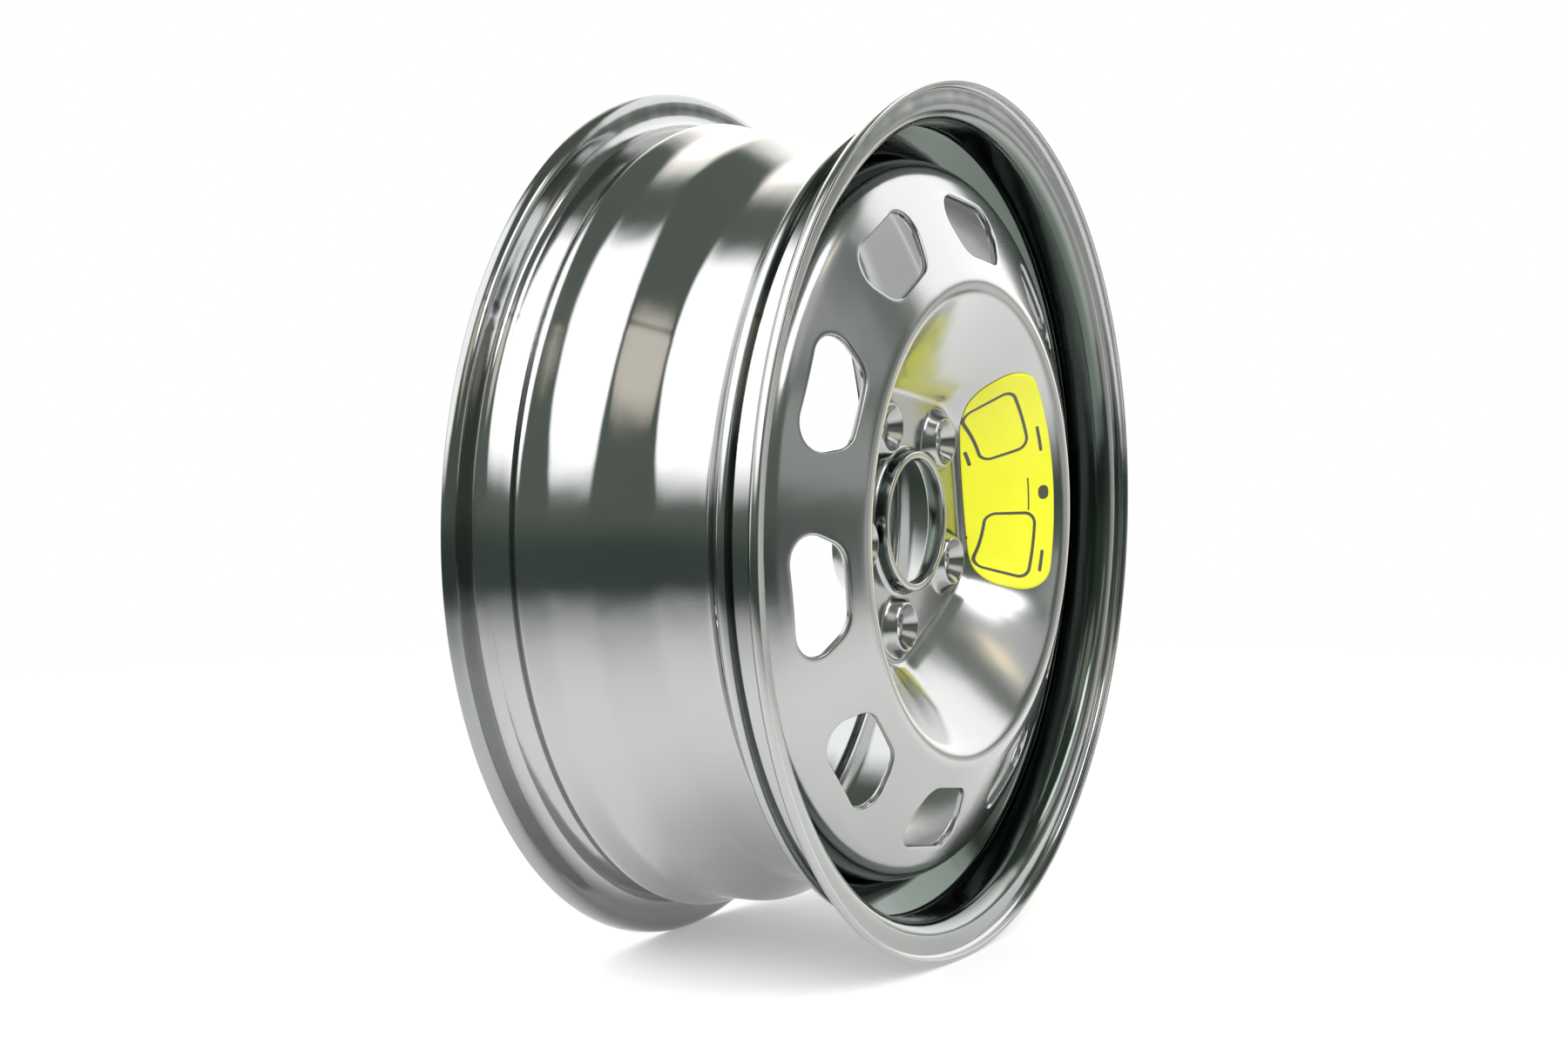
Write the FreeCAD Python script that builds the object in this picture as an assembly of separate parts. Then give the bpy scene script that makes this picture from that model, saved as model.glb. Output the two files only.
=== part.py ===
import FreeCAD, Part
import math
import os

# Pressed-steel car wheel, 6J x 16 pattern, in millimetres.
# The wheel's axis is Y, -Y is the outboard (kerb) side and +Z is up.
# The origin is on the axis, midway between the two bead flanges.

# Rim, sizes of the face that the tyre touches
RIM_WIDTH = 152.4
BEAD_SEAT_DIAMETER = 405.6
FLANGE_HEIGHT = 17.7
FLANGE_ROLL = 6.4
LIP_REACH = 7.1
HEEL_RADIUS = 6.5
SEAT_TAPER = 5.0
HUMP_DISTANCE = 23.4
HUMP_WIDTH = 9.6
HUMP_HEIGHT = 2.9
HUMP_ROUND = 5.0
LEDGE_RADIUS = 198.0
LEDGE_START = 41.0
LEDGE_END = 14.0
LEDGE_ROUND = 12.0
WELL_RADIUS = 184.6
WELL_START = -7.5
WELL_END = -40.0
WELL_ROUND = 9.0
RIM_SHEET = 2.7
LIP_EDGE_ROUND = 0.9

# Valve hole through the outboard wall of the well
VALVE_HOLE_DIAMETER = 11.3
VALVE_ANGLE = 189.9

# Disc, sizes of its outboard face
DISC_SHEET = 3.8
OFFSET_ET = 43.2
BORE_DIAMETER = 63.4
COLLAR_WALL = 3.6
COLLAR_HEIGHT = 8.0
COLLAR_ROUND = 3.2
COLLAR_EDGE_ROUND = 1.2
HUB_FLAT_DISTANCE = 64.0
HUB_CORNER = 22.0
DISH_FOOT_ROUND = 6.0
DISH_DEPTH = 42.2
CREST_CORNER_RADIUS = 118.5
CREST_ROUND = 12.0
CREST_RUN = 1.5
CONE_SLOPE = 23.3
SHOULDER_ROUND = 17.0
SKIRT_END = -17.0

# Windows punched through the cone of the disc
WINDOW_COUNT = 10
WINDOW_RADIUS = 148.4
WINDOW_WIDTH = 53.0
WINDOW_LENGTH = 32.6
WINDOW_TAPER = 4.0
WINDOW_CORNER = 13.0
PATTERN_ANGLE = 9.9

# Bolt holes with raised conical seats
BOLT_COUNT = 5
BOLT_CIRCLE = 108.0
BOLT_HOLE_DIAMETER = 15.0
SEAT_ANGLE = 60.0
BOSS_HEIGHT = 6.2
BOSS_TOP_DIAMETER = 25.0
BOSS_FOOT_DIAMETER = 34.0
SEAT_LAND = 0.9

# Fillet welds between the end of the skirt and the well
WELD_COUNT = 10
WELD_LEG = 3.4
WELD_ARC = 21.0
WELD_BULGE = 0.12

# Vinyl label on the wall of the dish
LABEL_THICKNESS = 0.25
LABEL_GLUE = 0.2
LABEL_FLAT_DISTANCE = 66.6
LABEL_OUTER_RADIUS = 109.8
LABEL_MARGIN = 1.5
LABEL_START = -25.5
LABEL_END = 48.5
LABEL_CORNER = 15.0
LABEL_CORNER_SHARE = 0.4

AXIS_START = FreeCAD.Vector(0, 0, 0)
AXIS = FreeCAD.Vector(0, 1, 0)
SWEEP = 40.0
MATCH = 1e-3


def point(radius, axial, height=0.0):
    return FreeCAD.Vector(radius, axial, height)


def offset_corners(corners, distance):
    """Corners of the path a set distance to the left of the path's direction, bends kept concentric."""
    runs = []
    for first, second in zip(corners, corners[1:]):
        along = (second[0] - first[0]).normalize()
        left = FreeCAD.Vector(-along.y, along.x, 0)
        runs.append((first[0] + left * distance, along, left))
    moved = [(runs[0][0], 0.0)]
    for (start, along, left), (next_start, next_along, _), corner in zip(runs, runs[1:], corners[1:]):
        turn = along.x * next_along.y - along.y * next_along.x
        gap = next_start - start
        reach = (gap.x * next_along.y - gap.y * next_along.x) / turn
        bend = corner[1] - distance if turn > 0 else corner[1] + distance
        moved.append((start + along * reach, bend))
    moved.append((corners[-1][0] + runs[-1][2] * distance, 0.0))
    return moved


def path_edges(corners):
    """Straight runs through the corners, joined by tangent arcs of each corner's own bend radius."""
    edges = []
    here = corners[0][0]
    for before, corner, after in zip(corners, corners[1:], corners[2:]):
        back = (before[0] - corner[0]).normalize()
        ahead = (after[0] - corner[0]).normalize()
        half = back.getAngle(ahead) / 2
        tangent = corner[1] / math.tan(half)
        bisector = (back + ahead).normalize()
        arc_middle = corner[0] + bisector * (corner[1] / math.sin(half) - corner[1])
        arc_start = corner[0] + back * tangent
        arc_end = corner[0] + ahead * tangent
        edges.append(Part.LineSegment(here, arc_start).toShape())
        edges.append(Part.Arc(arc_start, arc_middle, arc_end).toShape())
        here = arc_end
    edges.append(Part.LineSegment(here, corners[-1][0]).toShape())
    return edges


def sheet_section(corners, thickness):
    """Closed section of a bent sheet whose first face follows the corners, its body to their left."""
    other = offset_corners(corners, thickness)
    edges = path_edges(corners) + path_edges(other)
    edges.append(Part.LineSegment(corners[0][0], other[0][0]).toShape())
    edges.append(Part.LineSegment(corners[-1][0], other[-1][0]).toShape())
    return Part.Face(Part.Wire(Part.sortEdges(edges)[0]))


def revolved(face, angle=360.0):
    return face.revolve(AXIS_START, AXIS, angle)


def around(shape, angle):
    """Copy of a shape drawn at +X, turned about the wheel's axis so that a positive angle goes towards +Z."""
    copy = shape.copy()
    copy.rotate(AXIS_START, AXIS, -angle)
    return copy


def edges_at(shape, radius, axial):
    """Circular edges about the wheel's axis with this radius and axial place."""
    found = []
    for edge in shape.Edges:
        curve = edge.Curve
        if isinstance(curve, Part.Circle) and abs(curve.Radius - radius) < MATCH:
            if abs(curve.Center.y - axial) < MATCH and curve.Axis.cross(AXIS).Length < MATCH:
                found.append(edge)
    return found


# Places that follow from the sizes
wall_axial = RIM_WIDTH / 2
seat_radius = BEAD_SEAT_DIAMETER / 2
lip_radius = seat_radius + FLANGE_HEIGHT
lip_axial = wall_axial + LIP_REACH
hump_axial = wall_axial - HUMP_DISTANCE
hump_foot_axial = hump_axial + HUMP_WIDTH / 2
hump_foot_radius = seat_radius - (wall_axial - hump_foot_axial) * math.tan(math.radians(SEAT_TAPER))
hump_radius = hump_foot_radius + HUMP_HEIGHT
skirt_radius = WELL_RADIUS - RIM_SHEET
plate_back = -OFFSET_ET
plate_face = plate_back - DISC_SHEET
bore_radius = BORE_DIAMETER / 2
collar_radius = bore_radius + COLLAR_WALL
collar_front = plate_face - COLLAR_HEIGHT
cone_slope = math.tan(math.radians(CONE_SLOPE))
crest_corner_axial = plate_face - DISH_DEPTH
half_step = 180.0 / BOLT_COUNT
bolt_angles = [PATTERN_ANGLE + half_step + k * 360.0 / BOLT_COUNT for k in range(BOLT_COUNT)]
hub_centre = (HUB_FLAT_DISTANCE - HUB_CORNER) / math.cos(math.radians(half_step))
hub_reach = hub_centre + HUB_CORNER
dish_angle = math.atan(DISH_DEPTH / (CREST_CORNER_RADIUS - (HUB_FLAT_DISTANCE + hub_reach) / 2))
crest_turn = dish_angle + math.radians(CONE_SLOPE)
wall_run = CREST_ROUND * math.tan(crest_turn / 2) + CREST_RUN
wall_top = point(
    CREST_CORNER_RADIUS - wall_run * math.cos(dish_angle),
    crest_corner_axial + wall_run * math.sin(dish_angle),
)


def cone_axial(radius):
    """Axial place of the window cone's outboard face at a radius."""
    return crest_corner_axial + (radius - CREST_CORNER_RADIUS) * cone_slope


# Rim: one rolled band with two flanges, two humps, a ledge and a drop-centre well
def rim_flange(side):
    """Corners from the lip to the hump's crest on the inboard (+1) or outboard (-1) side."""
    return [
        (point(lip_radius, side * lip_axial), 0.0),
        (point(lip_radius, side * wall_axial), FLANGE_ROLL),
        (point(seat_radius, side * wall_axial), HEEL_RADIUS),
        (point(hump_foot_radius, side * hump_foot_axial), HUMP_ROUND),
        (point(hump_radius, side * hump_axial), HUMP_ROUND),
    ]


def make_rim():
    corners = rim_flange(1)
    corners.append((point(LEDGE_RADIUS, LEDGE_START), LEDGE_ROUND))
    corners.append((point(LEDGE_RADIUS, LEDGE_END), LEDGE_ROUND))
    corners.append((point(WELL_RADIUS, WELL_START), LEDGE_ROUND))
    corners.append((point(WELL_RADIUS, WELL_END), WELL_ROUND))
    corners += reversed(rim_flange(-1))
    band = revolved(sheet_section(corners, -RIM_SHEET))
    lip_edges = []
    for side in (1, -1):
        lip_edges += edges_at(band, lip_radius, side * lip_axial)
        lip_edges += edges_at(band, lip_radius - RIM_SHEET, side * lip_axial)
    band = band.makeFillet(LIP_EDGE_ROUND, lip_edges)
    foot = point(WELL_RADIUS, WELL_END)
    top = point(hump_radius, -hump_axial)
    along = (top - foot).normalize()
    out = FreeCAD.Vector(-along.y, along.x, 0)
    middle = (foot + top) * 0.5
    drill = Part.makeCylinder(VALVE_HOLE_DIAMETER / 2, SWEEP, middle - out * (SWEEP / 2), out)
    return band.cut(around(drill, VALVE_ANGLE))


# Disc: one pressing with a five-sided hub plate, a drawn collar, a dish, a crest, a window cone and a skirt
def disc_corners():
    """Outboard face from the top of the dish wall, over the crest and down the window cone to the skirt."""
    return [
        (wall_top, 0.0),
        (point(CREST_CORNER_RADIUS, crest_corner_axial), CREST_ROUND),
        (point(skirt_radius, cone_axial(skirt_radius)), SHOULDER_ROUND),
        (point(skirt_radius, SKIRT_END), 0.0),
    ]


def filled(corners):
    """Solid from a face of the disc to the plane of the skirt's end, the dish filled to its wall's top."""
    top = corners[0][0]
    end = corners[-1][0]
    edges = path_edges(corners)
    edges.append(Part.LineSegment(end, point(0, end.y)).toShape())
    edges.append(Part.LineSegment(point(0, end.y), point(0, top.y)).toShape())
    edges.append(Part.LineSegment(point(0, top.y), top).toShape())
    return revolved(Part.Face(Part.Wire(Part.sortEdges(edges)[0])))


def polar(radius, angle, axial):
    return point(radius * math.cos(math.radians(angle)), axial, radius * math.sin(math.radians(angle)))


def hub_wire(corner, axial):
    """Pentagon with rounded corners at the bolts, as arcs and straight sides in turn."""
    edges = []
    ends = []
    for angle in bolt_angles:
        centre = polar(hub_centre, angle, axial)
        arc = [centre + polar(corner, angle + turn, 0) for turn in (-half_step, 0, half_step)]
        edges.append([Part.Arc(*arc).toShape()])
        ends.append((arc[0], arc[2]))
    for k in range(BOLT_COUNT):
        edges[k].append(Part.LineSegment(ends[k][1], ends[(k + 1) % BOLT_COUNT][0]).toShape())
    return Part.Wire([edge for pair in edges for edge in pair])


def circle_wire(radius, axial):
    """Circle in as many arcs as the hub's outline has edges, each over the edge it belongs to."""
    tangent = polar(hub_centre, 0, 0) + polar(HUB_CORNER, half_step, 0)
    spread = math.degrees(math.atan2(tangent.z, tangent.x))
    arcs = []
    for angle in bolt_angles:
        for middle, half in ((angle, spread), (angle + half_step, half_step - spread)):
            places = (middle - half, middle, middle + half)
            arcs.append(Part.Arc(*[polar(radius, place, axial) for place in places]).toShape())
    return Part.Wire(arcs)


def dish_void(depth, foot_round=0.0):
    """Space in the dish from the five-sided foot to the round wall top, its wall moved inboard by a depth."""
    spread = depth * math.tan(dish_angle / 2)
    foot = hub_wire(HUB_CORNER + spread, plate_face + depth)
    top = circle_wire(wall_top.x + depth * math.sin(dish_angle), wall_top.y + depth * math.cos(dish_angle))
    void = Part.makeLoft([foot, top], True, True)
    if foot_round > 0:
        low = [edge for edge in void.Edges if abs(edge.BoundBox.YMin - plate_face - depth) < MATCH]
        void = void.makeFillet(foot_round, low)
    return void


def collar():
    """Drawn collar round the bore with a rounded foot on the hub plate."""
    foot = collar_radius + 2 * COLLAR_ROUND
    edges = path_edges([
        (point(collar_radius, collar_front), 0.0),
        (point(collar_radius, plate_face), COLLAR_ROUND),
        (point(foot, plate_face), 0.0),
    ])
    loop = [point(foot, plate_face), point(foot, plate_back), point(bore_radius, plate_back)]
    loop += [point(bore_radius, collar_front), point(collar_radius, collar_front)]
    edges += [Part.LineSegment(first, second).toShape() for first, second in zip(loop, loop[1:])]
    ring = revolved(Part.Face(Part.Wire(Part.sortEdges(edges)[0])))
    rims = edges_at(ring, collar_radius, collar_front) + edges_at(ring, bore_radius, collar_front)
    rims += edges_at(ring, bore_radius, plate_back)
    return ring.makeFillet(COLLAR_EDGE_ROUND, rims)


def disc_body():
    """Sheet between the outboard face and its inboard offset, with the collar set into the hub plate."""
    corners = disc_corners()
    front = filled(corners).cut(dish_void(0.0, DISH_FOOT_ROUND))
    back = filled(offset_corners(corners, DISC_SHEET))
    back = back.cut(dish_void(DISC_SHEET, DISH_FOOT_ROUND + DISC_SHEET))
    seat = Part.makeCylinder(collar_radius + 2 * COLLAR_ROUND, SWEEP, point(0, plate_face - SWEEP / 2), AXIS)
    return front.cut(back).cut(seat).fuse(collar())


def window_cutter():
    """Rounded trapezoid drawn on the cone at +X, wider outwards, swept along the cone's normal."""
    half_length = WINDOW_LENGTH / 2 - WINDOW_CORNER
    outer = WINDOW_WIDTH / 2 + WINDOW_TAPER / 2 - WINDOW_CORNER
    inner = WINDOW_WIDTH / 2 - WINDOW_TAPER / 2 - WINDOW_CORNER
    outline = Part.makePolygon([
        point(-half_length, -inner),
        point(half_length, -outer),
        point(half_length, outer),
        point(-half_length, inner),
        point(-half_length, -inner),
    ])
    face = outline.makeOffset2D(WINDOW_CORNER, fill=False)
    prism = Part.Face(face).extrude(FreeCAD.Vector(0, 0, SWEEP))
    prism.translate(FreeCAD.Vector(0, 0, -SWEEP / 2))
    prism.rotate(AXIS_START, FreeCAD.Vector(1, 0, 0), 90)
    prism.rotate(AXIS_START, FreeCAD.Vector(0, 0, 1), CONE_SLOPE)
    prism.translate(point(WINDOW_RADIUS, cone_axial(WINDOW_RADIUS)))
    return prism


def bolt_boss():
    """Frustum standing on the hub plate at +X."""
    return Part.makeCone(
        BOSS_FOOT_DIAMETER / 2, BOSS_TOP_DIAMETER / 2, BOSS_HEIGHT,
        point(BOLT_CIRCLE / 2, plate_face), -AXIS,
    )


def bolt_hole():
    """Through hole and the conical seat that opens to the boss's top, at +X."""
    top = plate_face - BOSS_HEIGHT
    hole_radius = BOLT_HOLE_DIAMETER / 2
    mouth_radius = BOSS_TOP_DIAMETER / 2 - SEAT_LAND
    depth = (mouth_radius - hole_radius) / math.tan(math.radians(SEAT_ANGLE / 2))
    drill = Part.makeCylinder(hole_radius, SWEEP, point(BOLT_CIRCLE / 2, plate_face - SWEEP / 2), AXIS)
    seat = Part.makeCone(mouth_radius, hole_radius, depth, point(BOLT_CIRCLE / 2, top), AXIS)
    return drill.fuse(seat)


def make_disc():
    body = disc_body()
    window_angles = [PATTERN_ANGLE + k * 360.0 / WINDOW_COUNT for k in range(WINDOW_COUNT)]
    body = body.fuse([around(bolt_boss(), angle) for angle in bolt_angles])
    body = body.cut([around(bolt_hole(), angle) for angle in bolt_angles])
    body = body.cut([around(window_cutter(), angle) for angle in window_angles])
    return body.removeSplitter()


# Welds: fillets in the corner between the end of the skirt and the well
def make_welds():
    corner = point(skirt_radius, SKIRT_END)
    on_well = point(skirt_radius, SKIRT_END + WELD_LEG)
    on_skirt = point(skirt_radius - WELD_LEG, SKIRT_END)
    bulge = (on_well + on_skirt) * 0.5 + (on_well - corner + on_skirt - corner) * WELD_BULGE
    section = Part.Face(Part.Wire([
        Part.LineSegment(corner, on_well).toShape(),
        Part.Arc(on_well, bulge, on_skirt).toShape(),
        Part.LineSegment(on_skirt, corner).toShape(),
    ]))
    bead = around(revolved(section, WELD_ARC), -WELD_ARC / 2)
    return Part.makeCompound([around(bead, k * 360.0 / WELD_COUNT) for k in range(WELD_COUNT)])


# Label: a thin film on the right-hand wall of the dish, with a straight edge along the hub's flat side
def make_label():
    film = dish_void(-LABEL_GLUE).cut(dish_void(-LABEL_GLUE - LABEL_THICKNESS))
    outer = min(LABEL_OUTER_RADIUS, wall_top.x - LABEL_MARGIN)
    corner = min(LABEL_CORNER, LABEL_CORNER_SHARE * (outer - LABEL_FLAT_DISTANCE))
    near = LABEL_FLAT_DISTANCE + corner
    far = outer - corner
    trim = math.degrees(corner / ((near + far) / 2))
    start = LABEL_START + trim
    end = LABEL_END - trim
    near_ends = [polar(near / math.cos(math.radians(t - PATTERN_ANGLE)), t, 0) for t in (start, end)]
    far_arc = Part.Arc(*[polar(far, t, 0) for t in (start, (start + end) / 2, end)])
    outline = Part.Wire([
        Part.LineSegment(near_ends[0], polar(far, start, 0)).toShape(),
        far_arc.toShape(),
        Part.LineSegment(polar(far, end, 0), near_ends[1]).toShape(),
        Part.LineSegment(near_ends[1], near_ends[0]).toShape(),
    ])
    patch = Part.Face(outline.makeOffset2D(corner, fill=False))
    return film.common(patch.extrude(AXIS * (2 * crest_corner_axial)))


os.makedirs("parts", exist_ok=True)
pieces = {
    "rim": make_rim(),
    "wheel_disc": make_disc(),
    "weld_beads": make_welds(),
    "dish_label": make_label(),
}
for name, shape in pieces.items():
    solids = shape.Solids
    print(name, len(solids), "solids, volume", round(shape.Volume / 1000, 2), "cm3, valid", shape.isValid())
    shape.exportStep(f"parts/{name}.step")
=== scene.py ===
import math

import bpy
import numpy as np
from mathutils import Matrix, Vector


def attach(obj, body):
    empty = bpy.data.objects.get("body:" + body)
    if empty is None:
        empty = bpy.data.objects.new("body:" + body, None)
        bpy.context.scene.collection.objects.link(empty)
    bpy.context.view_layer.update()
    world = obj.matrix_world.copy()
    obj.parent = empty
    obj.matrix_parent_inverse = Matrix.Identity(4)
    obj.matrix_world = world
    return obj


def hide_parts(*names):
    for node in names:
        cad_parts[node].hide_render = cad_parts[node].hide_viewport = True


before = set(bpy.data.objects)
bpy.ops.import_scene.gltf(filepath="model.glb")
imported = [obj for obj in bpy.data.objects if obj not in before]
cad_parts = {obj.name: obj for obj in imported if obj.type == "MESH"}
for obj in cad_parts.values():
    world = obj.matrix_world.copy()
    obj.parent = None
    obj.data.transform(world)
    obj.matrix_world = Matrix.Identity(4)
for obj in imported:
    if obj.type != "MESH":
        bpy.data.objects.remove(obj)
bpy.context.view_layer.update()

# Rim. One steel strip rolled into a hoop, butt-welded and roll-formed into two flanges, two humped bead
# seats, a ledge and a drop-centre well. It is electro-coated gloss black together with the disc, and the
# valve hole is punched through the outboard wall of the well.
MM = 0.001
COLUMNS = 360
RIM_SHEET = 2.7
LIP_RADIUS = 220.5
LIP_AXIAL = 83.3
FLANGE_WALL = 76.2
FLANGE_ROLL = 6.4
SEAT_RADIUS = 202.8
HEEL_ROUND = 6.5
HUMP_FOOT = (201.17, 57.6)
HUMP_CREST = (204.07, 52.8)
HUMP_ROUND = 5.0
LEDGE_RADIUS = 198.0
LEDGE_SPAN = (41.0, 14.0)
WELL_RADIUS = 184.6
WELL_SPAN = (-7.5, -40.0)
LEDGE_ROUND = 12.0
WELL_ROUND = 9.0
RIM_STEPS = (4.5, 8.0)
EDGE_ROUND = 0.9
EDGE_FLATNESS = 0.6
VALVE_HOLE_RADIUS = 5.65
VALVE_ANGLE = 189.9
VALVE_BLOCK = 8.5
HOLE_EDGE_ROUND = 0.6
HOLE_LAND = 0.6
HOLE_BLEND = 3
RING_ROOM = 0.8
BUTT_WELD_ANGLE = 150.5
BUTT_WELD_WIDTH = 6.0
BUTT_WELD_HEIGHT = 0.12
COAT_TINT = (0.46, 0.465, 0.465)
COAT_TINT_DIP = 0.92
# Dark colour that the coat is painted towards where shade is painted.
COAT_SHADE_COLOUR = (0.07, 0.095, 0.08)
COAT_ROUGHNESS = 0.11
ROUGHNESS_SPREAD = (0.8, 1.25)
COAT_RIPPLE = 0.03
RIPPLE_HEIGHT = 0.2
RIM_SWAY = 0.3
DRIFT_SCALE = 9.0
RIPPLE_SCALE = 420.0
SWAY_SCALE = 38.0
# Painted shade on the rim: how dark the inboard flange and the air side are painted, one being unshaded.
FLANGE_SHADE = 0.7
FLANGE_SHADE_RADII = (204.0, 209.0)
AIR_SIDE = (-80.0, -75.0, -45.0, -15.0)
AIR_SIDE_SHADE = (1.0, 0.1, 0.1, 0.7)


def bent_path(corners, run_step, arc_step):
    """A bent sheet's line: straight runs through the corners (radius, axial, bend), each corner rounded by
    an arc that leaves the run bend / tan(half the angle) before it. Gives the points and the unit normals
    on the left of the line."""
    rows = np.array(corners, float)
    here = rows[0, :2]
    points = []
    normals = []

    def add_run(start, end):
        """Evenly spaced points from start to end, each with the normal of that run."""
        steps = max(1, math.ceil(np.linalg.norm(end - start) / run_step))
        share = np.linspace(0, 1, steps + 1)[:, None]
        along = (end - start) / max(np.linalg.norm(end - start), 1e-9)
        points.append(start + (end - start) * share)
        normals.append(np.tile([-along[1], along[0]], (steps + 1, 1)))

    for before, corner, after in zip(rows, rows[1:], rows[2:]):
        back = (before - corner)[:2] / np.linalg.norm((before - corner)[:2])
        ahead = (after - corner)[:2] / np.linalg.norm((after - corner)[:2])
        half = 0.5 * math.acos(np.clip(back @ ahead, -1, 1))
        tangent = corner[2] / math.tan(half)
        middle = (back + ahead) / np.linalg.norm(back + ahead)
        centre = corner[:2] + middle * corner[2] / math.sin(half)
        turn = -1.0 if back[0] * ahead[1] - back[1] * ahead[0] > 0 else 1.0
        add_run(here, corner[:2] + back * tangent)
        sweep = math.pi - 2 * half
        steps = max(2, math.ceil(math.degrees(sweep) / arc_step))
        spin = turn * np.linspace(0, sweep, steps + 1)[1:-1]
        first = (corner[:2] + back * tangent - centre) / corner[2]
        spoke = np.stack([first[0] * np.cos(spin) - first[1] * np.sin(spin),
                          first[0] * np.sin(spin) + first[1] * np.cos(spin)], 1)
        points.append(centre + spoke * corner[2])
        normals.append(-turn * spoke)
        here = corner[:2] + ahead * tangent
    add_run(here, rows[-1, :2])
    return np.concatenate(points), np.concatenate(normals)


class BentSheet:
    """A sheet turned about the wheel's axis, known by the line of its outer face, by its thickness and by how
    far pull(radius, axial, angle) draws it outwards from a round form."""

    def __init__(self, corners, thickness, body_side, run_step, arc_step, pull=None):
        points, normals = bent_path(corners, run_step, arc_step)
        length = np.concatenate([[0], np.cumsum(np.linalg.norm(np.diff(points, axis=0), axis=1))])
        self.s = length
        self.radius, self.axial = points.T
        self.normal = normals * body_side
        self.thickness = thickness
        self.pull = pull

    def row_at(self, radius, axial):
        """Row of the line that lies nearest to a place of the section."""
        return int(np.argmin((self.radius - radius) ** 2 + (self.axial - axial) ** 2))

    def place(self, s, angle, depth, pulled=True):
        """The point at arc length s of the outer line, moved by depth along the normal on the sheet's side
        and outwards by the pull, then turned to the angle."""
        radius = np.interp(s, self.s, self.radius)
        axial = np.interp(s, self.s, self.axial)
        shift = self.pull(radius, axial, angle) if pulled and self.pull else 0.0
        radius = radius + depth * np.interp(s, self.s, self.normal[:, 0]) + shift
        axial = axial + depth * np.interp(s, self.s, self.normal[:, 1])
        return np.stack(np.broadcast_arrays(radius * np.cos(angle), axial, radius * np.sin(angle)), -1)

    def end_cap(self, row, steps, bulge):
        """Rounded cut edge: a flattened half ellipse across the thickness, from outer to inner face."""
        out = -1.0 if row == 0 else 1.0
        along = np.array([self.normal[row, 1], -self.normal[row, 0]])
        previous = np.array([self.radius[row] - self.radius[row - int(out)],
                             self.axial[row] - self.axial[row - int(out)]])
        along = along * np.sign(along @ previous)
        phi = np.linspace(0, np.pi, steps + 2)[1:-1]
        across = 0.5 * self.thickness * (1 - np.sign(np.cos(phi)) * np.abs(np.cos(phi)) ** EDGE_FLATNESS)
        reach = bulge * np.sin(phi) ** EDGE_FLATNESS
        return (self.radius[row] + across * self.normal[row, 0] + reach * along[0],
                self.axial[row] + across * self.normal[row, 1] + reach * along[1])


def outline_reach(distance, heading, far, grow=0.0):
    """How far an outline lies from its middle along each heading: the run at which the distance to the
    outline, negative inside it, passes grow, found by halving between nothing and far."""
    near = np.zeros_like(far)
    for _ in range(40):
        half = 0.5 * (near + far)
        within = distance(half * np.cos(heading), half * np.sin(heading)) < grow
        near, far = np.where(within, half, near), np.where(within, far, half)
    return near


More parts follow.
